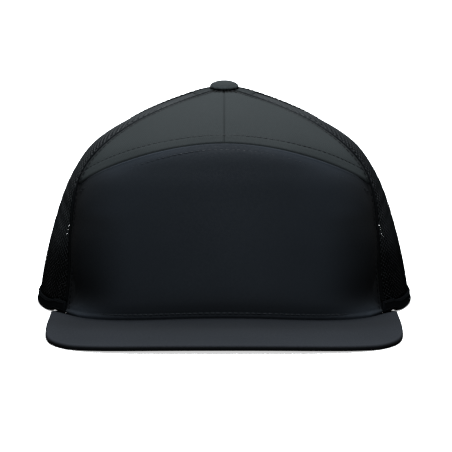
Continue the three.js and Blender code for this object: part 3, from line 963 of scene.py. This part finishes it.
def buildNet(name, middle, slant, inside, nodes):
    azimuth, level, triangles = lattice(middle, slant, inside)
    fromTwill = (fromFront(azimuth) - seamAzimuth(level)) * degreeLength(azimuth, level)
    depth = net["depth"] + net["tuckDepth"] * smooth(1 - fromTwill / net["ease"])
    place = crownPoint(azimuth, level)
    across = np.radians(fromFront(azimuth)) * np.hypot(place[:, 0], place[:, 1] - crown["axis"])
    ripple = np.sin((place[:, 2] - net["rippleFall"] * across) * math.tau / net["ripplePitch"])
    slack = net["ripple"] * (ripple - 1) / 2 * bump(level, net["rippleLevel"], net["rippleReach"])
    points = onCrown(azimuth, level, slack - depth)
    piece = meshObject(name, points.tolist(), [], triangles.tolist())
    grownMesh(piece, netWeave, {
        "Hole share": net["hole"], "Yarn thickness": net["yarn"], "Finish": netYarn})
    finishPiece(piece, netYarn, nodes)
    print(" ", name, len(piece.data.vertices), "points")


def buildNets():
    hemLevel = crown["hemTop"] - net["tuck"] / opening["levelHeight"]

    def inSide(azimuth, level):
        away, length = fromFront(azimuth), degreeLength(azimuth, level)
        return ((away > seamAzimuth(level) - net["tuck"] / length)
                & (away < crown["rearSeam"] - net["tapeGap"] / length)
                & (level > hemLevel) & (level < net["top"]))

    def inBack(azimuth, level):
        away, gap = np.abs(azimuth), net["tapeGap"] / degreeLength(azimuth, level)
        return ((away < 180 - gap) & (away > crown["rearSeam"] + gap)
                & (openingMargin(azimuth, level) > opening["binding"] - net["tuck"])
                & (level > hemLevel) & (level < net["top"]))

    for name, side in bothSides:
        for place, inside in (("side", inSide), ("back", inBack)):
            buildNet(place + "Net" + name, side * net[place + "Middle"], side * net["slant"], inside,
                     [place + "_net_" + name.lower()])


buildNets()
print("nets woven")

# Folded tapes: the hem of the nets and the binding of the back opening.
# The fold's section is given as shares of its width and heights over the crown's face.
tape = {
    "proud": 0.4 * mm,
    "inside": -2.0 * mm,
    "slot": (-0.3 * mm, -1.25 * mm),  # where the net lies between the two leaves
    "slotEnd": 2.2 * mm,
    "hemStart": 0.3,  # from the front seam and from the binding, in degrees
    "hemEnd": 0.15,
}


def foldSection(width):
    # (how far from the fold, height) round the folded tape
    out, into, slotEnd = tape["proud"], tape["inside"], tape["slotEnd"]
    high, low = tape["slot"]
    middle, radius = (out + into) / 2, (out - into) / 2
    outerLeaf = [(width, high + 0.02 * mm), (width, (out + high) / 2), (width - 0.15 * mm, out - 0.12 * mm),
                 (width - 0.6 * mm, out), (width * 0.5, out + 0.05 * mm)]
    bend = [(radius * 0.75 * (1 - math.sin(a)), middle + radius * math.cos(a))
            for a in np.radians(np.arange(0, 181, 18))]
    innerLeaf = [(width * 0.5, into), (width - 0.6 * mm, into), (width, into + 0.25 * mm), (width, low)]
    slot = [(width * 0.5, low), (slotEnd, low), (slotEnd - 0.3 * mm, (high + low) / 2), (slotEnd, high),
            (width * 0.5, high)]
    return outerLeaf + bend + innerLeaf + slot


def buildHems():
    along = np.linspace(0, 1, 90)
    for name, side in bothSides:
        columns = []
        for across, height in foldSection(opening["levelHeight"] * crown["hemTop"]):
            level = np.full_like(along, across / opening["levelHeight"])
            angle = np.degrees(np.arcsin(across / (opening["height"] + opening["binding"])))
            end = openingSpot(opening["binding"], angle)[0] - tape["hemEnd"]
            azimuth = side * mix(seamAzimuth(level) + tape["hemStart"], end, along)
            columns.append(onCrown(azimuth, level, height))
        makePiece("hem" + name, sweep(np.stack(columns, axis=1)), edgeTape,
                  ["hem_" + name.lower()])


def buildBinding():
    angles = np.linspace(0, 180, 121)
    rings = np.stack([onCrown(*openingSpot(across, angles), height)
                      for across, height in foldSection(opening["binding"])], axis=1)
    makePiece("backBinding", sweep(rings), edgeTape, ["back_binding"])


buildHems()
buildBinding()
print("tapes folded")

# Flat tapes over the seams between the nets, outside and inside, the patch round the button,
# and the bound edges of the side nets beside the front seams
seamTape = {
    "halfWidth": 2.7 * mm,
    "edge": 0.15 * mm,  # how far its edges are rounded
    "outside": (0.4 * mm, -0.25 * mm),  # heights of its two faces
    "inside": (-1.3 * mm, -1.9 * mm),
    "underFront": (-2.3 * mm, -2.9 * mm),  # along the seams of the front panel, inside
    "frontHalfWidth": 6.5 * mm,
    "frontSeam": (1.5, 8.7),  # from the sweatband to the button
    "foot": 0.32,  # level over the hem
    "overBinding": 0.02,
    "head": 8.82,
    "steps": 110,
}
patch = {
    "levels": (8.2, 8.5, 8.75, 9),
    "rim": 7.9,  # level of its rim over the nets' corners
    "rimSlope": 0.02,
    "edge": 0.12 * mm,
    "heights": (0, -1.3 * mm),
    "end": 1.5,  # from the front seams, in degrees
    "steps": 80,
}
netCord = {
    "reach": (0.15 * mm, 2.0 * mm),  # how far from the front seam
    "heights": (-0.15 * mm, -1.2 * mm),
    "levels": (0.32, 8.35),
    "steps": 200,
}


def atLevel(azimuth, level):
    return azimuth, np.full_like(azimuth, level)


def roundCrown(azimuth, section):
    # a solid round the crown, from a section of (level, height)
    return sweep(np.stack([onCrown(*atLevel(azimuth, level), height) for level, height in section], axis=1))


def besidePath(path, section, way=1):
    # a solid along a path on the crown, from a section of (distance beside the path, height)
    return sweep(np.stack([onCrown(*beside(*path, way * across), height)
                           for across, height in section], axis=1))


def tapeSection(half, high, low, edge):
    return [(-half, low), (-half, high - edge), (-half + 2 * edge, high), (-half / 2, high + 0.4 * edge),
            (0, high), (half / 2, high + 0.4 * edge), (half - 2 * edge, high), (half, high - edge),
            (half, low), (0, low)]


def cordSection(near, far, high, low):
    # flat above and below, rounded at both sides
    section = []
    for turn in np.radians(np.arange(15, 360, 30)):
        across, rise = math.cos(turn), math.sin(turn)
        ease = (high - low) / 4 if abs(across) > 0.8 else 0
        section.append((mix(near, far, (1 + across) / 2), high - ease if rise > 0 else low + ease))
    return section


def buildSeamTapes():
    tapes, hidden, cords = [], [], []
    for middle in (-crown["rearSeam"], crown["rearSeam"], 180):
        foot = seamTape["foot"]
        if middle == 180:
            foot = (opening["height"] + opening["binding"]) / opening["levelHeight"]
            foot += seamTape["overBinding"]
        level = np.linspace(foot, seamTape["head"], seamTape["steps"])
        for face in ("outside", "inside"):
            section = tapeSection(seamTape["halfWidth"], *seamTape[face], seamTape["edge"])
            tapes.append(besidePath((np.full_like(level, middle), level), section))
    for side in (-1, 1):
        level = np.linspace(*seamTape["frontSeam"], seamTape["steps"])
        half, (high, low) = seamTape["frontHalfWidth"], seamTape["underFront"]
        section = [(-half, low), (-half, high), (0, high), (half, high), (half, low), (0, low)]
        hidden.append(besidePath((side * seamAzimuth(level), level), section))
        level = np.linspace(*netCord["levels"], netCord["steps"])
        section = cordSection(*netCord["reach"], *netCord["heights"])
        cords.append(besidePath((side * seamAzimuth(level), level), section, -side))
    begin = crown["seams"][-1] + patch["end"]
    turn = np.linspace(begin, 360 - begin, patch["steps"])
    (high, low), rim = patch["heights"], patch["rim"]
    section = [(rim, low), (rim, high - patch["edge"]), (rim + patch["rimSlope"], high)]
    section += [(level, high) for level in patch["levels"]]
    section += [(level, low) for level in reversed(patch["levels"])]
    tapes.append(roundCrown(turn, section))
    makePiece("netCords", joined(cords), cordCotton)
    makePiece("seamTapes", joined(tapes), crownTape)
    makePiece("frontSeamTapes", joined(hidden), edgeTape)


buildSeamTapes()
print("seams taped")

# Bill: a stiff board under drawn twill, with a rolled edge
bill = {
    "thickness": 2.8 * mm,
    "seamThickness": 1.3 * mm,
    "thickening": 20 * mm,  # from the seam to its full thickness
    "end": 64,  # azimuth of its ends
    "front": 166.8 * mm,  # from the crown's axis to the front edge
    "halfWidth": 88.7 * mm,
    "centre": 90 * mm,  # from the crown's axis to the widest place
    "squareness": 4.1,  # 2 would be an ellipse
    "arch": 1.7 * mm,  # how far its middle rises over its sides
    "archReach": 76 * mm,
    "sidePull": 2.4 * mm,  # how far its sides draw in behind the widest place
    "seamGap": 0.4 * mm,  # under the crown's rim
    "under": 2.0 * mm,  # how far it runs under the crown
    "roll": 1.5 * mm,  # how far the upper edge is rounded, and its share of the thickness
    "rollShare": 0.6,
    "underRoll": 0.9 * mm,
    "underShare": 0.38,
    # the cloth sinks behind the rolled edge, swells over it and puffs beside the crown:
    # how far, where and over what width
    "drawn": (0.22 * mm, 3.2 * mm, 1.6 * mm),
    "swell": (-0.12 * mm, 1.5 * mm, 0.8 * mm),
    "puff": (-0.125 * mm, -1.8 * mm, 1.2 * mm),
    "rings": 257,
    "steps": 34,
    # painted shade, darker towards the crown: how far from it, width, how much
    "shades": ((20 * mm, 16 * mm, 0.32), (45 * mm, 22 * mm, 0.05)),
    "edgeLight": 0.16,  # painted highlight: how much lighter its upper face is just behind the edge
    "edgeLightReach": 7 * mm,
    "edgeDark": 0.85,  # and painted shade: how much darker the lower half of the edge and the underside just behind it are
}


def billReach(azimuth):
    angle = np.abs(np.radians(azimuth))
    near = np.full_like(angle, bill["centre"])
    far = np.full_like(angle, bill["front"] + bill["halfWidth"])
    for _ in range(30):
        middle = (near + far) / 2
        ahead = middle * np.cos(angle) - bill["centre"]
        halfWidth = bill["halfWidth"] - bill["sidePull"] * np.maximum(0, -ahead / bill["centre"])
        depth = np.maximum(0, ahead) / (bill["front"] - bill["centre"])
        power = bill["squareness"]
        inside = (middle * np.sin(angle) / halfWidth) ** power + depth ** power < 1
        near, far = np.where(inside, middle, near), np.where(inside, far, middle)
    return near


def billHeights(azimuth, across, span, share):
    # its upper face and its thickness
    lift = bill["arch"] * np.maximum(0, 1 - np.abs(across / bill["archReach"]) ** 3)
    edge = mix(bill["seamThickness"], bill["thickness"], np.minimum(1, span / bill["thickening"]))
    top = mix(rimHeight(azimuth) - bill["seamGap"], edge + lift, share)
    return top, mix(bill["seamThickness"], edge, share)


def buildBill():
    azimuth = np.linspace(-bill["end"], bill["end"], bill["rings"])
    rim = crownPoint(azimuth, 0.0)
    rimReach = np.hypot(rim[:, 0], rim[:, 1] - crown["axis"])
    reach = billReach(azimuth)
    ahead = unit(np.stack([np.sin(np.radians(azimuth)), -np.cos(np.radians(azimuth))], axis=-1))
    span = reach - rimReach

    def spot(inset, drop, deep=0):
        # a point inside the outline, dropped under the upper face, also by a share of the thickness
        out = reach - inset
        share = np.clip((out - rimReach) / span, 0, 1)
        top, thickness = billHeights(azimuth, ahead[:, 0] * out, span, share)
        height = top - drop - deep * thickness
        return np.stack([ahead[:, 0] * out, ahead[:, 1] * out + crown["axis"], height], axis=-1)

    # painted highlight behind the edge, painted shade on the edge's lower half and under it
    columns, tones = [spot(span + bill["under"], 0)], [1]
    for share in np.linspace(0, 1, bill["steps"]) ** 0.8:
        inset = mix(span, bill["roll"], share)
        tones.append(1 + bill["edgeLight"] * np.exp(-inset / bill["edgeLightReach"]))
        drop = sum(much * bump(away, place, width) for away, (much, place, width) in (
            (inset, bill["drawn"]), (inset, bill["swell"]), (inset - span, bill["puff"])))
        columns.append(spot(inset, drop))
    for angle in np.radians(np.arange(15, 91, 15)):
        columns.append(spot(bill["roll"] * (1 - np.sin(angle)), 0, bill["rollShare"] * (1 - np.cos(angle))))
        tones.append(1 - bill["edgeDark"] * smooth((1 - np.cos(angle)) * 1.5))
    for angle in np.radians(np.arange(0, 91, 18)):
        columns.append(spot(bill["underRoll"] * (1 - np.cos(angle)), 0,
                            1 - bill["underShare"] * (1 - np.sin(angle))))
        tones.append(1 - bill["edgeDark"])
    for share in np.linspace(0, 1, bill["steps"])[1:]:
        columns.append(spot(mix(bill["underRoll"], span, share), 0, 1))
        tones.append(1 - bill["edgeDark"] * (1 - smooth(share * 6)))
    columns.append(spot(span + bill["under"], 0, 1))
    tones.append(1)
    rings = np.stack(columns, axis=1)
    fromCrown = distanceTo(rings * (1, 1, 0), rim * (1, 1, 0))[0]
    shade = np.stack([np.broadcast_to(tone, fromCrown.shape[:1]) for tone in tones], axis=1)
    # painted shade towards the crown
    for place, width, much in bill["shades"]:
        shade = shade * (1 - much * bump(fromCrown, place, width))
    makePiece("bill", sweep(rings), billTwill, ["bill"], shade)


buildBill()
print("bill covered")

# Button, covered with gathered twill
button = {
    "radius": 7.3 * mm,
    "foot": 6.7 * mm,
    "height": 3.7 * mm,
    "roll": 0.7 * mm,
    "gap": 0.1 * mm,  # over the cloth
    "sunk": 1.0 * mm,  # how far its foot reaches down to the cloth
    "gathers": 14,
    "gatherDepth": 0.12 * mm,
    "tones": (1.2, 4.2, 2.1 * mm),  # painted light: how much lighter its top and its foot are, and the height where the top's begins
    "turns": 112,
}


def buildButton():
    seat = crownPoint(0.0, float(crown["top"]))[2] + button["gap"]
    turn = np.linspace(0, math.tau, button["turns"], endpoint=False)
    foot = seat - button["sunk"]
    narrow, wide, roll = button["foot"], button["radius"], button["roll"]
    dome = button["height"] - roll
    profile = [(0.6 * mm, foot), (narrow * 0.6, foot), (narrow * 0.97, foot), (narrow, seat)]
    profile += [(mix(narrow, wide, math.sin(a)), seat + roll * (1 - math.cos(a)))
                for a in np.radians(np.arange(18, 91, 18))]
    profile += [(wide * math.cos(a), seat + roll + dome * math.sin(a))
                for a in np.radians(np.arange(7, 88, 8))]
    rings = []
    for reach, height in profile:
        low = 1 - smooth((height - seat) / (button["height"] * 0.75))
        fold = button["gatherDepth"] * low * np.sin(turn * button["gathers"] + 0.6 * np.sin(turn * 3))
        around = reach + (fold if reach > narrow * 0.7 else 0)
        rings.append(np.stack([around * np.sin(turn), crown["axis"] - around * np.cos(turn),
                               np.full_like(turn, height)], axis=-1))
    points, faces = sweep(np.stack(rings))[:2]
    # painted light on the button's top and foot, carried by the shade attribute
    high, low, reach = button["tones"]
    shade = mix(low, high, smooth((points[:, 2] - seat) / reach))
    solid = points, faces, points[:, :2] - (0, crown["axis"])
    makePiece("button", solid, crownTwill, ["button"], shade)


buildButton()
print("button covered")

# Sweatband inside the rim, and the size strap across the back opening
sweatband = {
    "start": -149,  # azimuths
    "end": 149,
    "steps": 200,
    "low": 0.05,  # levels
    "high": 1.4,
    "outside": -2.4 * mm,  # heights over the crown's face
    "inside": -3.9 * mm,
    "soft": 0.5 * mm,
    "puff": 0.5 * mm,
}
strap = {
    "start": 152,
    "end": 208,
    "steps": 60,
    "low": 0.06,
    "high": 0.95,
    "outside": -2.4 * mm,
    "inside": -4.2 * mm,
    "soft": 0.35 * mm,
    "puff": 0,
}


def bandSolid(band):
    # a band with rounded edges, its inner face puffed between them
    azimuth = np.linspace(band["start"], band["end"], band["steps"])
    low, high, outside, inside, soft = (band[key] for key in ("low", "high", "outside", "inside", "soft"))
    ease = soft / opening["levelHeight"]
    section = [(mix(low + ease, high - ease, share), outside) for share in np.linspace(0, 1, 7)]
    section += [(high - 0.3 * ease, outside - 0.3 * soft), (high, outside - soft),
                (high, inside + soft), (high - 0.3 * ease, inside + 0.3 * soft)]
    section += [(mix(high - ease, low + ease, share), inside - band["puff"] * math.sin(math.pi * share))
                for share in np.linspace(0, 1, 13)]
    section += [(low + 0.3 * ease, inside + 0.3 * soft), (low, inside + soft),
                (low, outside - soft), (low + 0.3 * ease, outside - 0.3 * soft)]
    return roundCrown(azimuth, section)


def buildBands():
    makePiece("sweatband", bandSolid(sweatband), bandCotton, ["sweatband"])
    makePiece("backStrap", bandSolid(strap), strapPlastic, ["back_strap"])


buildBands()
print("bands set in")

# Rows of stitches
stitches = {
    "pitch": 2.9 * mm,
    "length": 2.8 * mm,
    "thread": 0.42 * mm,
    "lift": 0.03 * mm,  # of the thread's middle over the cloth
    "archTrim": 6,  # how many of the arch seam's samples stay free at each end
    "frontPull": 0.1 * mm,  # how much deeper the row under the arch seam is pulled in
    "side": (0.15, 3.05),  # levels of the rows along the net
    "upper": (3.65, 8.5),
    "cord": (3.3, 8.2),
    "join": 53.5,  # azimuth where the row over the bill ends
    "hemLevels": (0.24, 0.07),
    "hemStart": 2,  # degrees from the front seam
    "hemEnd": 152,
    "tapeFoot": 0.5,  # levels of the rows on the tapes, over the hem and over the binding
    "backTapeFoot": 2.85,
    "tapeHead": 8.6,
    "tapeReach": 1.75 * mm,
    "binding": (1.6 * mm, 6.6 * mm),  # margins round the opening
    "band": ((0.16, 0.12 * mm), (1.28, 0.13 * mm)),  # levels and how far the band is puffed there
    "bandEnd": 2,
    "onTape": 0.05 * mm,
}


def stitchRows(name, rows, thread):
    # rows lists (spots, height, way): spots on the crown, height over it, 1 outside or -1 inside
    points, edges, facing = [], [], []
    for (azimuth, level), height, way in rows:
        first = len(points)
        points += onCrown(azimuth, level, height + way * stitches["lift"]).tolist()
        facing += (way * crownNormal(azimuth, level)).tolist()
        edges += [(i, i + 1) for i in range(first, len(points) - 1)]
    piece = meshObject(name, points, edges, [])
    directions = piece.data.attributes.new("facing", "FLOAT_VECTOR", "POINT")
    directions.data.foreach_set("vector", np.ravel(facing))
    grownMesh(piece, stitchRow, {"Pitch": stitches["pitch"], "Length": stitches["length"],
                                 "Thread": stitches["thread"], "Finish": thread})
    finishPiece(piece, thread)
    print(" ", name, len(piece.data.polygons), "faces")


def archRow(seam, way, sink, pull):
    azimuth, level = beside(*archPath(), way * seams[seam]["row"])
    kept = slice(stitches["archTrim"], -stitches["archTrim"])
    return (azimuth[kept], level[kept]), seams[seam]["rowDip"] + float(sink(seams[seam]["row"])) - pull, 1


def buildStitches():
    rows = {name: [] for name in ("upper", "side", "cord", "front", "tape", "hem", "band")}
    rows["upper"].append(archRow("archAbove", 1, sinkAbove, 0))
    rows["front"].append(archRow("archBelow", -1, sinkBelow, stitches["frontPull"]))
    sideRow, sideDip = seams["side"]["row"], seams["side"]["rowDip"]
    for side in (-1, 1):
        for name, distance, height in (("side", sideRow, sideDip), ("upper", sideRow, sideDip),
                                       ("cord", -sum(netCord["reach"]) / 2, netCord["heights"][0])):
            level = np.linspace(*stitches[name], 160)
            rows[name].append((beside(side * seamAzimuth(level), level, side * distance), height, 1))
    azimuth = np.linspace(-stitches["join"], stitches["join"], 240)
    rows["front"].append((beside(*atLevel(azimuth, 0), seams["join"]["row"]), seams["join"]["rowDip"], 1))
    top = tape["proud"] + stitches["onTape"]
    for side in (-1, 1):
        azimuth = side * np.linspace(crown["seams"][0] + stitches["hemStart"], stitches["hemEnd"], 220)
        rows["hem"] += [(atLevel(azimuth, level), top, 1) for level in stitches["hemLevels"]]
    for middle in (-crown["rearSeam"], crown["rearSeam"], 180):
        foot = stitches["tapeFoot"] if middle != 180 else stitches["backTapeFoot"]
        level = np.linspace(foot, stitches["tapeHead"], 200)
        for way in (-1, 1):
            spots = beside(np.full_like(level, middle), level, way * stitches["tapeReach"])
            rows["tape"].append((spots, tape["proud"], 1))
    around = np.linspace(3, 177, 200)
    rows["hem"] += [(openingSpot(margin, around), top, 1) for margin in stitches["binding"]]
    end = sweatband["end"] - stitches["bandEnd"]
    rows["band"] = [(atLevel(np.linspace(-end, end, 400), level), sweatband["inside"] - puff, -1)
                    for level, puff in stitches["band"]]
    for name, thread, slot in (
            ("upper", sewingThread, "upper_cloth"), ("side", hemThread, "front_cloth"),
            ("cord", tapeThread, "tape"), ("front", frontThread, "front_cloth"),
            ("tape", tapeThread, "tape"), ("hem", hemThread, "tape"),
            ("band", sewingThread, "sweatband_cloth")):
        stitchRows(name + "Stitches", rows[name], thread)


buildStitches()
print("stitches sewn")

# Floor, light and surroundings
studio = {
    "floorSize": 9.0,
    "floorColours": ((0.84, 0.84, 0.84), (0.88, 0.88, 0.88)),
    "floorGlow": 0.75,  # how brightly the pale floor shines by itself
    "backdropRadius": 14.0,
    "world": 0.02,  # strength of the light from all sides
    "lights": (
        # name, place, width and depth, colour, energy
        ("overhead", (0.0, 0.65, 2.4), (1.2, 1.3), (0.94, 0.975, 1.0), 165),
        ("front", (0.0, -2.5, 2.3), (0.9, 0.8), (0.90, 0.96, 1.0), 150),
    ),
}


def onlySeen(piece, material):
    # shown to the camera, but throws no light back on the cap
    piece.data.materials.append(material)
    piece.visible_diffuse = False
    piece.visible_glossy = False
    piece.visible_transmission = False


def buildStudio():
    half = studio["floorSize"] / 2
    corners = [(-half, -half, 0), (half, -half, 0), (half, half, 0), (-half, half, 0)]
    material, tree, shader = newMaterial("paleFloor", {"roughness": 0.9, "gloss": 0.1})
    place = addNode(tree, "ShaderNodeTexCoord").outputs["Object"]
    colour = colourBetween(tree, noiseNode(tree, place, 3), *studio["floorColours"])
    for socket in ("Base Color", "Emission Color"):
        tree.links.new(colour, shader.inputs[socket])
    shader.inputs["Emission Strength"].default_value = studio["floorGlow"]
    onlySeen(meshObject("floor", corners, [], [(0, 1, 2, 3)]), material)
    material, tree, shader = newMaterial("paleBackdrop", {"roughness": 1, "gloss": 0})
    shader.inputs["Emission Color"].default_value = (1, 1, 1, 1)
    shader.inputs["Emission Strength"].default_value = 1
    made, mesh = bmesh.new(), bpy.data.meshes.new("backdrop")
    bmesh.ops.create_icosphere(made, subdivisions=4, radius=studio["backdropRadius"])
    made.to_mesh(mesh)
    made.free()
    backdrop = newObject("backdrop", mesh)
    backdrop.visible_shadow = False
    onlySeen(backdrop, material)
    world = bpy.data.worlds.new("studio")
    world.use_nodes = True
    world.node_tree.nodes["Background"].inputs["Color"].default_value = (1, 1, 1, 1)
    world.node_tree.nodes["Background"].inputs["Strength"].default_value = studio["world"]
    scene = bpy.context.scene
    scene.world = world
    scene.view_settings.view_transform = "Standard"
    scene.view_settings.look = "None"
    aim = Vector(view["target"])
    for name, place, (width, depth), colour, energy in studio["lights"]:
        data = bpy.data.lights.new(name, "AREA")
        data.shape = "RECTANGLE"
        data.size, data.size_y = width, depth
        data.color = colour
        data.energy = energy
        light = newObject(name, data)
        light.location = place
        light.rotation_euler = (aim - Vector(place)).to_track_quat("-Z", "Y").to_euler()
        light.visible_camera = False


buildStudio()
print("studio lit")
